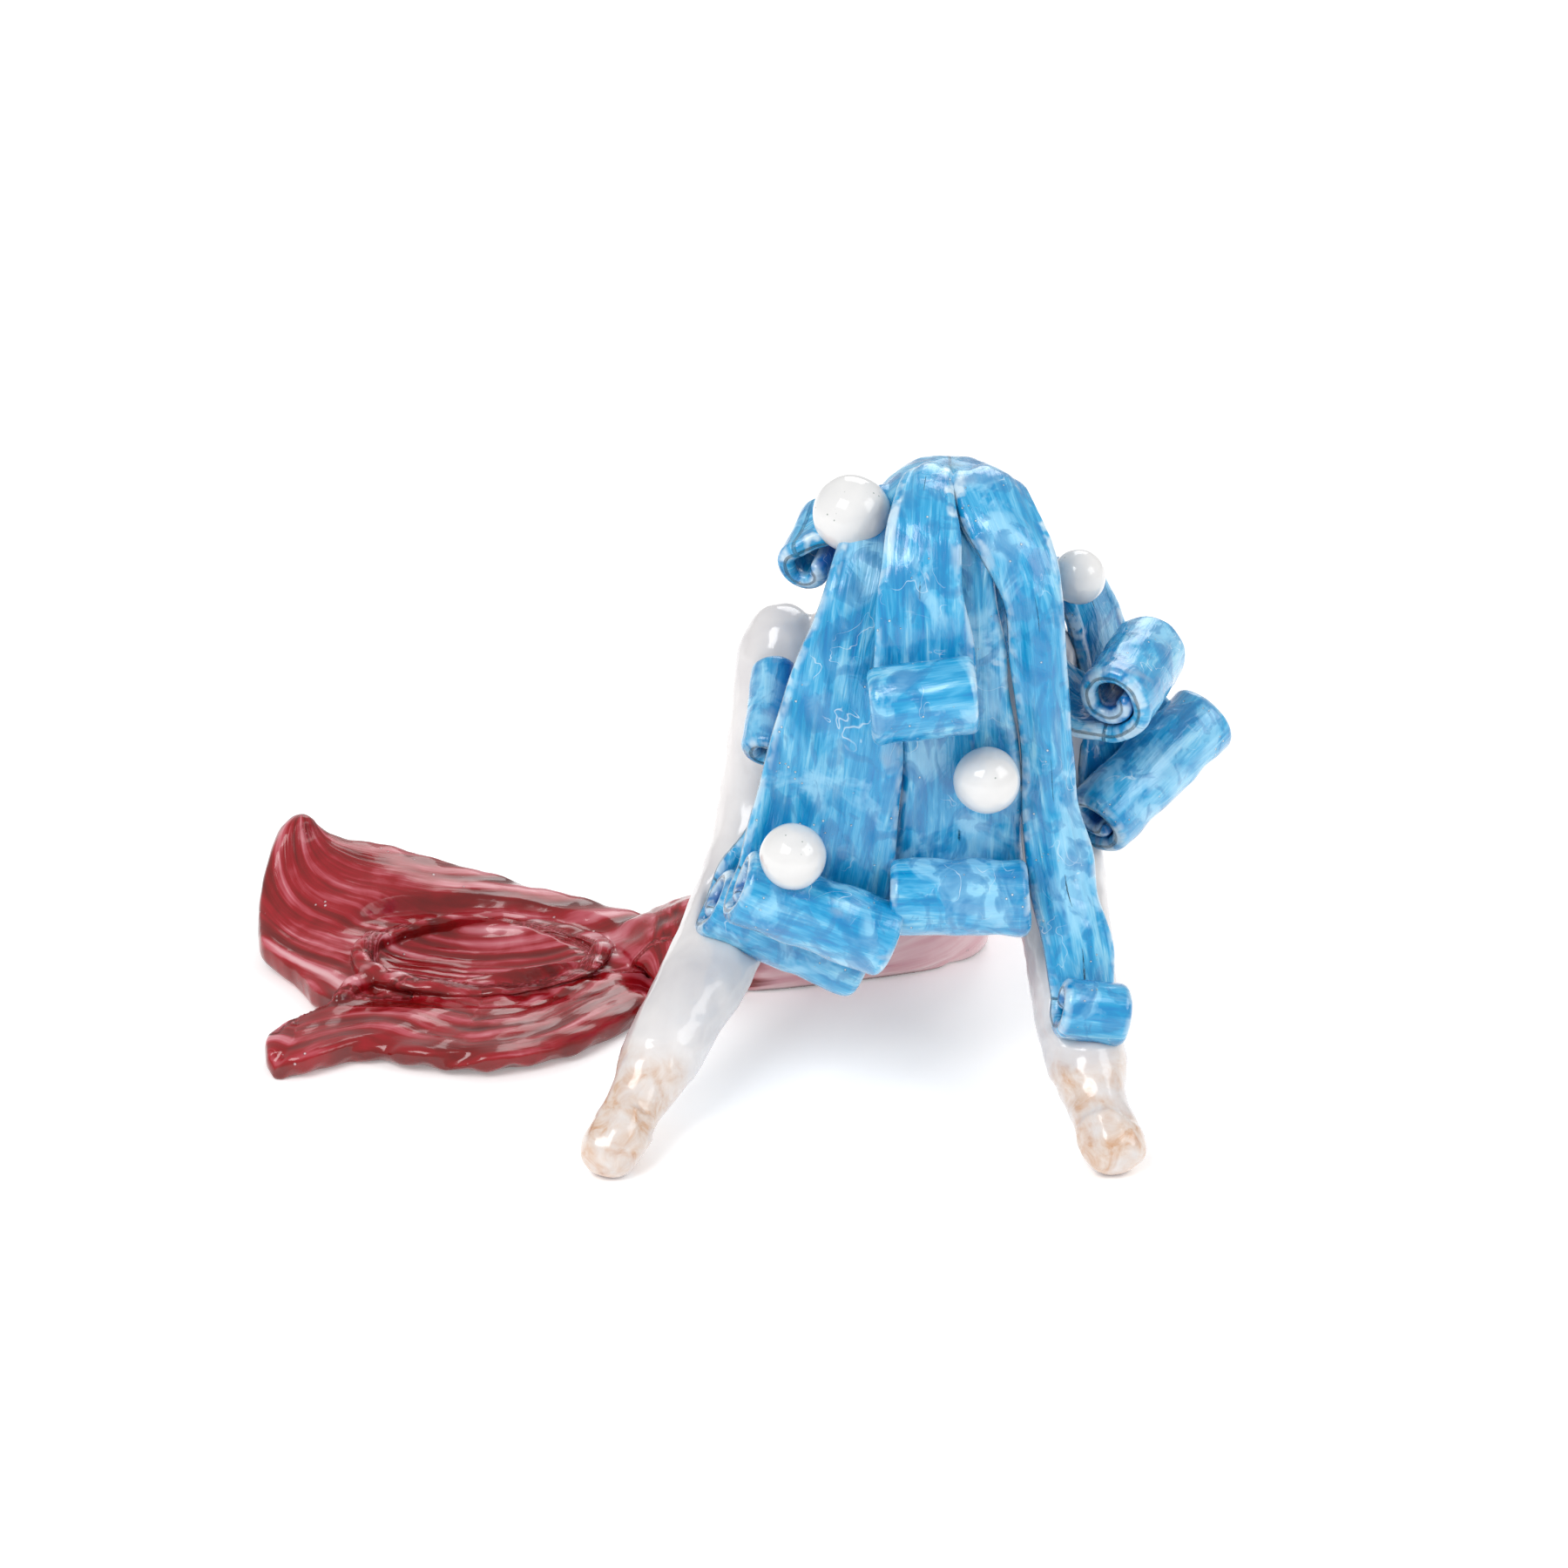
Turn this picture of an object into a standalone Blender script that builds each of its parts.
"""A seated ceramic mermaid figurine, hand built from slabs, coils and balls of clay.

The figure sits upright on the flat base of the tail and leans back on two straight arms.
X runs to the right, Y runs towards the figure's front, Z is up, and the origin is the middle
of the seat's flat base. Shapes are given in millimetres and scaled by MM.
"""

import math

import bmesh
import bpy
from mathutils import Vector

MM = 0.001
GAP = 0.35            # clearance left where two pieces of clay meet
SLAB = 4.5            # thickness of a rolled slab of clay
CURL_PITCH = 5.7      # distance from one turn of a curl to the next
CURL_CROWN = 0.3      # how far the middle of a curl stands proud of its ends
ROLL_STEPS = 12       # facets in one turn of a curl
FLUKE_SLAB = 8.0      # thickness of the tail fin
PEARL = 11.0          # radius of the ball at the crown
LOCK_PEARL = 9.4      # radius of the balls on the back locks
SMALL_PEARL = 8.0     # radius of the small ball at the right temple
RIM_COIL = 3.4        # radius of the coil round the dish
DISH_CENTRE = (-112.0, -32.0)
DISH_SEMI = (37.0, 20.5)

HAIR_BLUE = ("hair_glaze", (0.11, 0.41, 0.69), 0.16)
BODY_WHITE = ("white_glaze", (0.72, 0.71, 0.72), 0.15)
HAND_BEIGE = ("bare_hand_glaze", (0.78, 0.66, 0.58), 0.30)
HIP_PINK = ("pink_glaze", (0.60, 0.27, 0.31), 0.18)
TAIL_CRIMSON = ("crimson_glaze", (0.28, 0.035, 0.05), 0.16)
PEARL_WHITE = ("pearl_glaze", (0.86, 0.87, 0.87), 0.12)


def clear_scene():
    for old in list(bpy.data.objects):
        bpy.data.objects.remove(old, do_unlink=True)


def new_collection(name):
    collection = bpy.data.collections.new(name)
    bpy.context.scene.collection.children.link(collection)
    return collection


def glaze(look):
    """The Principled material of a glaze, made once."""
    name, colour, roughness = look
    material = bpy.data.materials.get(name)
    if material is None:
        material = bpy.data.materials.new(name)
        material.use_nodes = True
        shader = material.node_tree.nodes["Principled BSDF"]
        shader.inputs["Base Color"].default_value = (*colour, 1.0)
        shader.inputs["Roughness"].default_value = roughness
        shader.inputs["Metallic"].default_value = 0.0
    return material


def add_piece(name, mesh, look):
    piece = bpy.data.objects.new(name, mesh)
    PARTS.objects.link(piece)
    mesh.materials.clear()
    mesh.materials.append(glaze(look))
    return piece


def mesh_from(bm, name):
    """A bmesh in millimetres as a mesh in metres, its faces turned outwards."""
    bmesh.ops.scale(bm, vec=(MM, MM, MM), verts=bm.verts)
    bmesh.ops.recalc_face_normals(bm, faces=bm.faces)
    mesh = bpy.data.meshes.new(name)
    bm.to_mesh(mesh)
    bm.free()
    return mesh


def settle(piece):
    """Applies the modifiers of a piece and shades it smooth over its round stretches."""
    graph = bpy.context.evaluated_depsgraph_get()
    mesh = bpy.data.meshes.new_from_object(piece.evaluated_get(graph))
    piece.modifiers.clear()
    piece.data = mesh
    mesh.shade_smooth()
    mesh.set_sharp_from_angle(angle=math.radians(40))
    return piece


def subdivided(piece, levels):
    modifier = piece.modifiers.new("Soften", "SUBSURF")
    modifier.levels = levels
    modifier.render_levels = levels
    return settle(piece)


def flat_bottomed(piece):
    """Slices a piece flat where it stands on the table."""
    bm = bmesh.new()
    bm.from_mesh(piece.data)
    geometry = bm.verts[:] + bm.edges[:] + bm.faces[:]
    cut = bmesh.ops.bisect_plane(
        bm, geom=geometry, plane_co=(0, 0, 0), plane_no=(0, 0, 1), clear_inner=True
    )
    rim = [item for item in cut["geom_cut"] if isinstance(item, bmesh.types.BMEdge)]
    bmesh.ops.contextual_create(bm, geom=rim)
    bmesh.ops.recalc_face_normals(bm, faces=bm.faces)
    bm.to_mesh(piece.data)
    bm.free()
    return piece


def without_crumbs(piece):
    """Keeps the largest body of a piece and drops the slivers that a cut leaves behind."""
    bm = bmesh.new()
    bm.from_mesh(piece.data)
    bodies = []
    unseen = set(bm.faces)
    while unseen:
        body = []
        front = [unseen.pop()]
        while front:
            face = front.pop()
            body.append(face)
            for edge in face.edges:
                for other in edge.link_faces:
                    if other in unseen:
                        unseen.remove(other)
                        front.append(other)
        bodies.append(body)
    largest = max(bodies, key=lambda body: sum(face.calc_area() for face in body))
    crumbs = [face for body in bodies if body is not largest for face in body]
    bmesh.ops.delete(bm, geom=crumbs, context="FACES")
    bm.to_mesh(piece.data)
    bm.free()
    return piece


def make_room(piece, *neighbours, solver="EXACT"):
    """Cuts a piece back so that it clears its neighbours by the gap between clay pieces."""
    for neighbour in neighbours:
        mesh = neighbour.data.copy()
        bm = bmesh.new()
        bm.from_mesh(mesh)
        bm.normal_update()
        for vert in bm.verts:
            vert.co += vert.normal * (GAP * MM * min(vert.calc_shell_factor(), 1.6))
        bm.to_mesh(mesh)
        bm.free()
        cutter = bpy.data.objects.new(f"room_for_{neighbour.name}_in_{piece.name}", mesh)
        CUTTERS.objects.link(cutter)
        cutter.hide_render = True
        cutter.display_type = "WIRE"
        modifier = piece.modifiers.new("Room", "BOOLEAN")
        modifier.operation = "DIFFERENCE"
        modifier.solver = solver
        modifier.object = cutter
    return without_crumbs(settle(piece))


def smooth_path(points, steps):
    """Points on a smooth curve through the given rows of numbers, with steps to each stretch."""
    rows = [tuple(map(float, point)) for point in points]
    ends = [rows[0], *rows, rows[-1]]
    path = []
    for i in range(len(rows) - 1):
        a, b, c, d = ends[i : i + 4]
        for k in range(steps):
            t = k / steps
            path.append(
                tuple(
                    0.5 * (2 * q + (r - p) * t + (2 * p - 5 * q + 4 * r - s) * t**2
                           + (3 * q - p - 3 * r + s) * t**3)
                    for p, q, r, s in zip(a, b, c, d)
                )
            )
    path.append(rows[-1])
    return path


def sheet(rows):
    """An open surface through a grid of points."""
    bm = bmesh.new()
    grid = [[bm.verts.new(point) for point in row] for row in rows]
    for upper, lower in zip(grid, grid[1:]):
        for k in range(len(upper) - 1):
            bm.faces.new((upper[k], upper[k + 1], lower[k + 1], lower[k]))
    return bm


def slab_piece(name, rows, thickness, look):
    """A sheet of clay: an open surface given its thickness by Solidify."""
    piece = add_piece(name, mesh_from(sheet(rows), name), look)
    modifier = piece.modifiers.new("Thickness", "SOLIDIFY")
    modifier.thickness = thickness * MM
    modifier.offset = 0.0
    modifier.use_even_offset = True
    return settle(piece)


def curl_points(start, down, inward, radius, turns):
    """The spiral that the end of a slab is rolled into, from its first point to its heart."""
    centre = start + inward * radius
    count = round(turns * ROLL_STEPS)
    points = []
    for k in range(1, count + 1):
        angle = 2 * math.pi * k / ROLL_STEPS
        reach = radius - CURL_PITCH * angle / (2 * math.pi)
        points.append(centre + (down * math.sin(angle) - inward * math.cos(angle)) * reach)
    return points


def lock(name, stations, across, curl, crown=0.5, look=HAIR_BLUE, steps=2):
    """A lock of hair: a slab that follows its stations and ends rolled into a curl.

    A station is x, y, z and half the slab's width. across is the direction of the width at the
    top and at the curl. curl is its radius, its turns and the side that it rolls to.
    """
    path = smooth_path(stations, steps)
    top, bottom = (Vector(direction).normalized() for direction in across)
    radius, turns, side = curl
    points = [Vector(row[:3]) for row in path]
    widths = [row[3] for row in path]
    share = [k / (len(points) - 1) for k in range(len(points))]
    last = points[-1] - points[-2]
    down = (last - bottom * last.dot(bottom)).normalized()
    inward = (bottom.cross(down) * side).normalized()
    rolled = curl_points(points[-1], down, inward, radius, turns)
    points += rolled
    widths += [widths[-1]] * len(rolled)
    share += [1.0] * len(rolled)
    bulges = [crown] * (len(points) - len(rolled)) + [-CURL_CROWN] * len(rolled)
    rows = []
    for k, point in enumerate(points):
        along = points[min(k + 1, len(points) - 1)] - points[max(k - 1, 0)]
        width = top.lerp(bottom, share[k]).normalized()
        bulge = width.cross(along).normalized() * (side * bulges[k])
        rows.append((point - width * widths[k], point + bulge, point + width * widths[k]))
    return slab_piece(name, rows, SLAB, look)


def ring(centre, along, across, half_width, half_depth, sides=8):
    """The points of an oval ring round a limb, square to the direction along it."""
    along = Vector(along).normalized()
    across = Vector(across)
    across = (across - along * across.dot(along)).normalized()
    depth = along.cross(across)
    return [
        Vector(centre)
        + across * (half_width * math.cos(2 * math.pi * (k + 0.5) / sides))
        + depth * (half_depth * math.sin(2 * math.pi * (k + 0.5) / sides))
        for k in range(sides)
    ]


def soft_form(name, rings, look, levels=1):
    """A soft body: a coarse cage of rings with closed ends, rounded by subdivision."""
    bm = bmesh.new()
    loops = [[bm.verts.new(point) for point in points] for points in rings]
    for lower, upper in zip(loops, loops[1:]):
        for k in range(len(lower)):
            after = (k + 1) % len(lower)
            bm.faces.new((lower[k], lower[after], upper[after], upper[k]))
    bm.faces.new(loops[0])
    bm.faces.new(loops[-1])
    return subdivided(add_piece(name, mesh_from(bm, name), look), levels)


def body_rings(stations, across=(1, 0, 0)):
    """Rings along a body from its stations: x, y, z, half width, half depth."""
    centres = [Vector(station[:3]) for station in stations]
    rings = []
    for k, station in enumerate(stations):
        along = centres[min(k + 1, len(centres) - 1)] - centres[max(k - 1, 0)]
        rings.append(ring(centres[k], along, across, station[3], station[4]))
    return rings


def coil(name, points, radii, look, closed=False, resolution=3):
    """A rolled coil of clay: a curve with a round section, made a mesh with welded ends."""
    curve = bpy.data.curves.new(name, "CURVE")
    curve.dimensions = "3D"
    curve.bevel_depth = MM
    curve.bevel_resolution = resolution
    curve.use_fill_caps = True
    spline = curve.splines.new("POLY")
    spline.points.add(len(points) - 1)
    for node, point, radius in zip(spline.points, points, radii):
        node.co = (*(Vector(point) * MM), 1.0)
        node.radius = radius
    spline.use_cyclic_u = closed
    guide = bpy.data.objects.new(name + "_route", curve)
    CUTTERS.objects.link(guide)
    graph = bpy.context.evaluated_depsgraph_get()
    mesh = bpy.data.meshes.new_from_object(guide.evaluated_get(graph))
    bm = bmesh.new()
    bm.from_mesh(mesh)
    bmesh.ops.remove_doubles(bm, verts=bm.verts, dist=0.01 * MM)
    bmesh.ops.recalc_face_normals(bm, faces=bm.faces)
    bm.to_mesh(mesh)
    bm.free()
    piece = add_piece(name, mesh, look)
    piece.matrix_world = guide.matrix_world
    bpy.data.objects.remove(guide, do_unlink=True)
    return settle(piece)


def ball(name, centre, radius, look=PEARL_WHITE):
    bm = bmesh.new()
    bmesh.ops.create_uvsphere(bm, u_segments=16, v_segments=10, radius=radius)
    bmesh.ops.translate(bm, verts=bm.verts, vec=centre)
    return settle(add_piece(name, mesh_from(bm, name), look))


# ------------------------------------------------------------------ body

def build_torso():
    return soft_form("torso", body_rings([
        (4, -3, 24, 24, 20),
        (6, -6, 38, 26, 20),
        (9, -15, 58, 21, 16),
        (12, -25, 80, 26, 18),
        (15, -32, 100, 36, 21),
        (16, -36, 116, 40, 18),
        (17, -39, 124, 30, 14),
        (19, -41, 128, 14, 9),
    ]), BODY_WHITE)


def build_neck():
    return soft_form("neck", body_rings([
        (18, -40, 118, 11, 11),
        (22, -44, 129, 11, 11),
        (26, -47, 140, 11, 11),
    ]), BODY_WHITE)


def build_head():
    """An egg-shaped head tipped back, with a plain brow, nose and chin towards +Y."""
    bm = bmesh.new()
    bmesh.ops.create_uvsphere(bm, u_segments=20, v_segments=14, radius=1.0)
    for vert in bm.verts:
        x, y, z = vert.co
        jaw = max(0.0, -z)
        front = max(0.0, y)
        nose = 0.17 * front * math.exp(-((x / 0.17) ** 2) - ((z + 0.12) / 0.22) ** 2)
        chin = 0.08 * front * math.exp(-((x / 0.35) ** 2) - ((z + 0.78) / 0.2) ** 2)
        vert.co = (x * (1 - 0.30 * jaw**2), y + nose + chin, z * (1 + 0.05 * jaw))
    tilt = math.radians(14)
    half = Vector((19.5, 22.0, 24.5))
    middle = Vector((28, -50, 149))
    for vert in bm.verts:
        x, y, z = (a * b for a, b in zip(vert.co, half))
        turned = (x, y * math.cos(tilt) - z * math.sin(tilt), y * math.sin(tilt) + z * math.cos(tilt))
        vert.co = middle + Vector(turned)
    return settle(add_piece("head", mesh_from(bm, "head"), BODY_WHITE))


def build_arm(name, points, radii):
    """A straight arm: a long coil, rounded at the shoulder."""
    first = Vector(points[0])
    second = Vector(points[1])
    back = (first - second).normalized()
    crown = [(math.cos(a), math.sin(a)) for a in (math.radians(15), math.radians(45))]
    cap = [tuple(first + back * radii[0] * rise) for rise, _ in crown]
    cap_radii = [radii[0] * reach for _, reach in crown]
    rows = smooth_path([(*p, r) for p, r in zip(points, radii)], 2)
    path = cap + [row[:3] for row in rows]
    return coil(name, path, cap_radii + [row[3] for row in rows], BODY_WHITE)


def build_hand(name, stations):
    """A mitten of clay pressed flat on the table."""
    return flat_bottomed(soft_form(name, body_rings(stations), HAND_BEIGE))


# ------------------------------------------------------------------ tail

def tail_rings(stations, along):
    """Upright rings along the tail: x, y, half the width across, height above the table."""
    across = Vector((along[1], -along[0], 0))
    rings = []
    for x, y, half_width, height in stations:
        centre = (x, y, 0.36 * height)
        rings.append(ring(centre, along, across, half_width, 0.68 * height))
    return rings


def build_tail_hips():
    stations = [
        (43, 5, 14, 18),
        (36, 4, 27, 34),
        (22, 1, 35, 48),
        (2, -1, 39, 52),
        (-18, -8, 36, 40),
        (-36, -17, 28, 26),
        (-42, -20, 23, 21),
    ]
    return flat_bottomed(soft_form("tail_hips", tail_rings(stations, (-0.96, -0.28, 0)), HIP_PINK))


def build_tail_ankle():
    stations = [
        (-36, -15, 22, 23),
        (-46, -23, 24, 20),
        (-56, -29, 25, 16),
        (-68, -33, 25, 13),
    ]
    rings = tail_rings(stations, (-0.86, -0.5, 0))
    return flat_bottomed(soft_form("tail_ankle", rings, TAIL_CRIMSON))


def patch(inner, outer, first, last, columns, rows):
    """A grid of points spanning four boundary curves, as a Coons patch."""
    def on(curve, share):
        path = smooth_path(curve, 8)
        place = share * (len(path) - 1)
        k = min(int(place), len(path) - 2)
        return Vector(path[k]).lerp(Vector(path[k + 1]), place - k)

    corners = [Vector(inner[0]), Vector(inner[-1]), Vector(outer[0]), Vector(outer[-1])]
    grid = []
    for i in range(columns + 1):
        s = i / columns
        line = []
        for j in range(rows + 1):
            t = j / rows
            ruled = on(inner, s) * (1 - t) + on(outer, s) * t
            ends = on(first, t) * (1 - s) + on(last, t) * s
            corner = (corners[0] * (1 - s) + corners[1] * s) * (1 - t)
            corner += (corners[2] * (1 - s) + corners[3] * s) * t
            line.append(ruled + ends - corner)
        grid.append(line)
    return grid


def build_front_lobe():
    """The fin lobe that lies flat on the table, nearest the hands."""
    z = FLUKE_SLAB / 2
    inner = [(-58, -33, z), (-100, -45, z), (-153, -57, z), (-173.5, -75, z)]
    outer = [(-58, -54, z), (-84, -81, z), (-113, -90, z), (-143, -81, z), (-163, -90, z),
             (-172, -87, z)]
    rows = patch(inner, outer, [inner[0], outer[0]], [inner[-1], outer[-1]], 12, 4)
    return slab_piece("fluke_front_lobe", rows, FLUKE_SLAB, TAIL_CRIMSON)


def build_back_lobe():
    """The fin lobe that scoops up from the table to a curled tip."""
    z = FLUKE_SLAB / 2
    inner = [(-58, -32.4, z), (-100, -44.4, z), (-153, -56, z), (-169, -38, z + 1), (-181, -25, z + 3)]
    outer = [(-60, -6, z + 1), (-82, 5, z + 2), (-114, 16, 10), (-142, 19, 18), (-164, 19, 23),
             (-171, 17.5, 34)]
    last = [inner[-1], (-184, -8, 10), (-182, 6, 22), (-178, 13, 31.5), outer[-1]]
    rows = patch(inner, outer, [inner[0], outer[0]], last, 12, 6)
    return flat_bottomed(slab_piece("fluke_back_lobe", rows, FLUKE_SLAB, TAIL_CRIMSON))


def build_dish_rim():
    """The coil pinched up into an oval wall round the dish in the fin."""
    count = 28
    points = []
    for k in range(count):
        angle = 2 * math.pi * k / count
        points.append((
            DISH_CENTRE[0] + DISH_SEMI[0] * math.cos(angle),
            DISH_CENTRE[1] + DISH_SEMI[1] * math.sin(angle) + 0.1 * DISH_SEMI[0] * math.cos(angle),
            FLUKE_SLAB + GAP + RIM_COIL + 1.0 * max(0.0, math.sin(angle)),
        ))
    return coil("dish_rim", points, [RIM_COIL] * count, TAIL_CRIMSON, closed=True, resolution=1)


def hollow_dish(*lobes):
    """Sinks the dish's shallow floor into the lobes under it."""
    bm = bmesh.new()
    bmesh.ops.create_uvsphere(bm, u_segments=24, v_segments=16, radius=1.0)
    bmesh.ops.scale(bm, vec=(DISH_SEMI[0] - 3, DISH_SEMI[1] - 3, 9.0), verts=bm.verts)
    bmesh.ops.translate(bm, verts=bm.verts, vec=(*DISH_CENTRE, 12.5))
    cutter = bpy.data.objects.new("dish_hollow", mesh_from(bm, "dish_hollow"))
    CUTTERS.objects.link(cutter)
    cutter.hide_render = True
    cutter.display_type = "WIRE"
    for lobe in lobes:
        modifier = lobe.modifiers.new("Hollow", "BOOLEAN")
        modifier.operation = "DIFFERENCE"
        modifier.object = cutter
        settle(lobe)


def build_tail():
    hips = build_tail_hips()
    ankle = build_tail_ankle()
    front = build_front_lobe()
    back = build_back_lobe()
    rim = build_dish_rim()
    spine = coil("fluke_spine", [(-144, -45, 11.5), (-149, -51, 11), (-155, -59, 9.5)],
                 [2.8, 3.0, 2.2], TAIL_CRIMSON, resolution=1)
    make_room(back, front)
    hollow_dish(front, back)
    make_room(ankle, hips, front, back, solver="MANIFOLD")
    make_room(spine, rim)
    make_room(front, rim, spine)
    make_room(back, rim, spine)
    return hips


# ------------------------------------------------------------------ hair

def build_cap():
    """The cap of clay over the skull, open in front of the face."""
    bm = bmesh.new()
    bmesh.ops.create_uvsphere(bm, u_segments=24, v_segments=16, radius=1.0)
    bmesh.ops.scale(bm, vec=(27.5, 28.0, 33.0), verts=bm.verts)
    bmesh.ops.translate(bm, verts=bm.verts, vec=(28, -54, 149))
    for point, normal in (((28, -40, 150), (0, 1, -0.25)), ((28, -60, 126), (0, 0.4, -1))):
        geometry = bm.verts[:] + bm.edges[:] + bm.faces[:]
        cut = bmesh.ops.bisect_plane(
            bm, geom=geometry, plane_co=point, plane_no=normal, clear_outer=True
        )
        rim = [item for item in cut["geom_cut"] if isinstance(item, bmesh.types.BMEdge)]
        bmesh.ops.contextual_create(bm, geom=rim)
    return settle(add_piece("hair_cap", mesh_from(bm, "hair_cap"), HAIR_BLUE))


def build_back_locks():
    """The locks that hang down the back, from the top layer to the lowest."""
    right = (1, 0, 0)
    return [
        lock("lock_centre", [
            (22, -62, 181, 8), (20, -77, 175, 10), (19.5, -87, 163, 11.5), (20, -92, 148, 13.5),
            (20, -93, 133, 15),
        ], (right, (1, 0, 0.14)), (11.6, 1.4, -1)),
        lock("lock_left", [
            (8, -60, 172, 7), (3, -79, 155, 9.8), (-1.3, -86, 130, 15.3), (-4.5, -90, 105, 19.8),
            (-7.7, -93.5, 84, 22), (-10.5, -96, 67, 23.5),
        ], (right, (0.92, 0, -0.39)), (11.6, 1.4, -1)),
        lock("lock_left_under", [
            (6, -62, 156, 6), (1, -71, 138, 8), (-2, -74, 105, 9), (-12, -74.5, 78, 16),
            (-17.5, -74, 50.5, 24.5),
        ], (right, (0.9, 0, -0.44)), (11.6, 1.4, -1)),
        lock("lock_middle", [
            (30, -66, 176, 8), (29.5, -81, 152, 12), (30.5, -85, 125, 15.5),
            (32, -87, 98, 17.2), (31.5, -88.5, 68.5, 19.6),
        ], (right, (1, 0, -0.01)), (11.8, 1.4, -1)),
    ]


def build_right_lock():
    """The lock that folds over the right shoulder and lies along the arm."""
    return lock("lock_right", [
        (38, -62, 178, 11), (42, -73, 171, 13), (47, -80, 161, 11), (50.5, -84, 147, 8.8),
        (53.5, -86, 122, 8), (56.5, -88, 95, 8.5), (60, -93, 72, 10.5), (64.5, -101, 52, 11),
        (67.3, -107, 37, 9.8),
    ], ((1, 0.1, -0.1), (0.97, 0.1, -0.2)), (9.2, 1.1, -1), crown=2.5)


def build_curls():
    """The short locks at the sides, rolled up tight."""
    return [
        lock("curl_left_temple", [
            (9, -54, 168, 6), (2, -55, 167, 8), (-6, -54.5, 166, 10), (-12, -55, 163.5, 11),
        ], ((0.33, 0.885, 0.33), (0.33, 0.885, 0.33)), (7.4, 0.85, -1), crown=0.3),
        lock("curl_left_side", [
            (6, -61, 122, 9), (-6, -60.5, 113, 12), (-14.3, -60, 107, 15), (-19.8, -60, 104.5, 15),
        ], ((0.1, 0.85, 0.52), (0.1, 0.85, 0.52)), (7.2, 0.85, 1), crown=0.3),
        lock("curl_right_upper", [
            (52, -52, 128, 7), (60, -55, 114, 11), (68, -57, 107.5, 15.5), (79.5, -57.5, 106.5, 18.5),
        ], ((0.375, 0.925, 0.05), (0.375, 0.925, 0.05)), (11.4, 1.35, -1), crown=0.3),
        lock("curl_right_lower", [
            (56, -42, 148, 7), (66, -36, 138, 9), (72, -32, 122, 10), (76, -31, 106, 12),
            (79.5, -35, 93, 18), (81.5, -40, 80.5, 26),
        ], ((0.68, 0.62, 0.39), (0.68, 0.62, 0.39)), (11.8, 1.4, -1), crown=0.3),
    ]


def build_front_locks():
    """The two locks that frame the face and fall on the chest."""
    return [
        lock("lock_front_left", [
            (10, -38, 158, 6), (5, -28, 146, 8), (1, -18, 132, 8), (-1, -11, 118, 8), (-1, -8, 105, 8),
        ], ((0.7, 0.7, 0), (0.85, 0.5, 0)), (7.6, 0.95, 1)),
        lock("lock_front_right", [
            (46, -38, 158, 6), (48, -28, 146, 8), (46, -17, 132, 8), (43, -10, 118, 8), (41, -7, 105, 8),
        ], ((0.7, -0.7, 0), (0.9, -0.4, 0)), (7.6, 0.95, 1)),
    ]


def build_pearls():
    return [
        ball("pearl_crown", (0, -63, 170.5), PEARL),
        ball("pearl_temple", (66, -46, 143.5), SMALL_PEARL),
        ball("pearl_left_lock", (-16.5, -111.5, 87), LOCK_PEARL),
        ball("pearl_middle_lock", (38, -98, 104), LOCK_PEARL),
    ]


def build_figure():
    hips = build_tail()
    torso = build_torso()
    neck = build_neck()
    head = build_head()
    arm_left = build_arm("arm_left", [
        (-19.5, -38, 116), (-23, -42, 82), (-27, -54, 60), (-36, -78, 44), (-48, -102, 30), (-60, -124, 17),
    ], (13, 13, 13, 12.5, 11.5, 10))
    arm_right = build_arm("arm_right", [
        (53, -38, 116), (58, -42, 82), (62, -56, 58), (64.5, -84, 39), (66.5, -108, 26), (70, -124, 15),
    ], (13, 13, 13, 12.5, 11.5, 10))
    hand_left = build_hand("hand_left", [
        (-57, -118, 21, 10, 10), (-63.5, -130, 12, 10, 10), (-68, -138, 7.5, 9, 9), (-72, -144, 4.5, 7, 7),
    ])
    hand_right = build_hand("hand_right", [
        (68, -117, 20, 9, 9), (71, -129, 12, 10, 10), (75, -138, 8, 10, 9), (77, -144, 5, 7.5, 7),
    ])
    cap = build_cap()
    centre, left, under, middle = build_back_locks()
    right = build_right_lock()
    temple, side, upper, lower = build_curls()
    front_left, front_right = build_front_locks()
    crown, small, on_left, on_middle = build_pearls()

    make_room(hand_left, arm_left)
    make_room(hand_right, arm_right)
    make_room(neck, head)
    make_room(torso, hips, arm_left, arm_right, neck, side, front_left, front_right)
    make_room(left, on_left, crown)
    make_room(middle, on_middle, right, centre, left)
    make_room(temple, crown)
    make_room(side, under)
    make_room(lower, small, upper)
    make_room(centre, right)
    make_room(arm_left, side, under)
    make_room(arm_right, right, lower)
    make_room(upper, arm_right)
    make_room(head, under, temple)
    make_room(cap, head, centre, left, under, middle, right, temple, side, upper, lower,
              front_left, front_right, crown, neck, solver="MANIFOLD")


clear_scene()
PARTS = new_collection("ceramic_mermaid_figurine")
CUTTERS = new_collection("cutters")
CUTTERS.hide_render = True
build_figure()
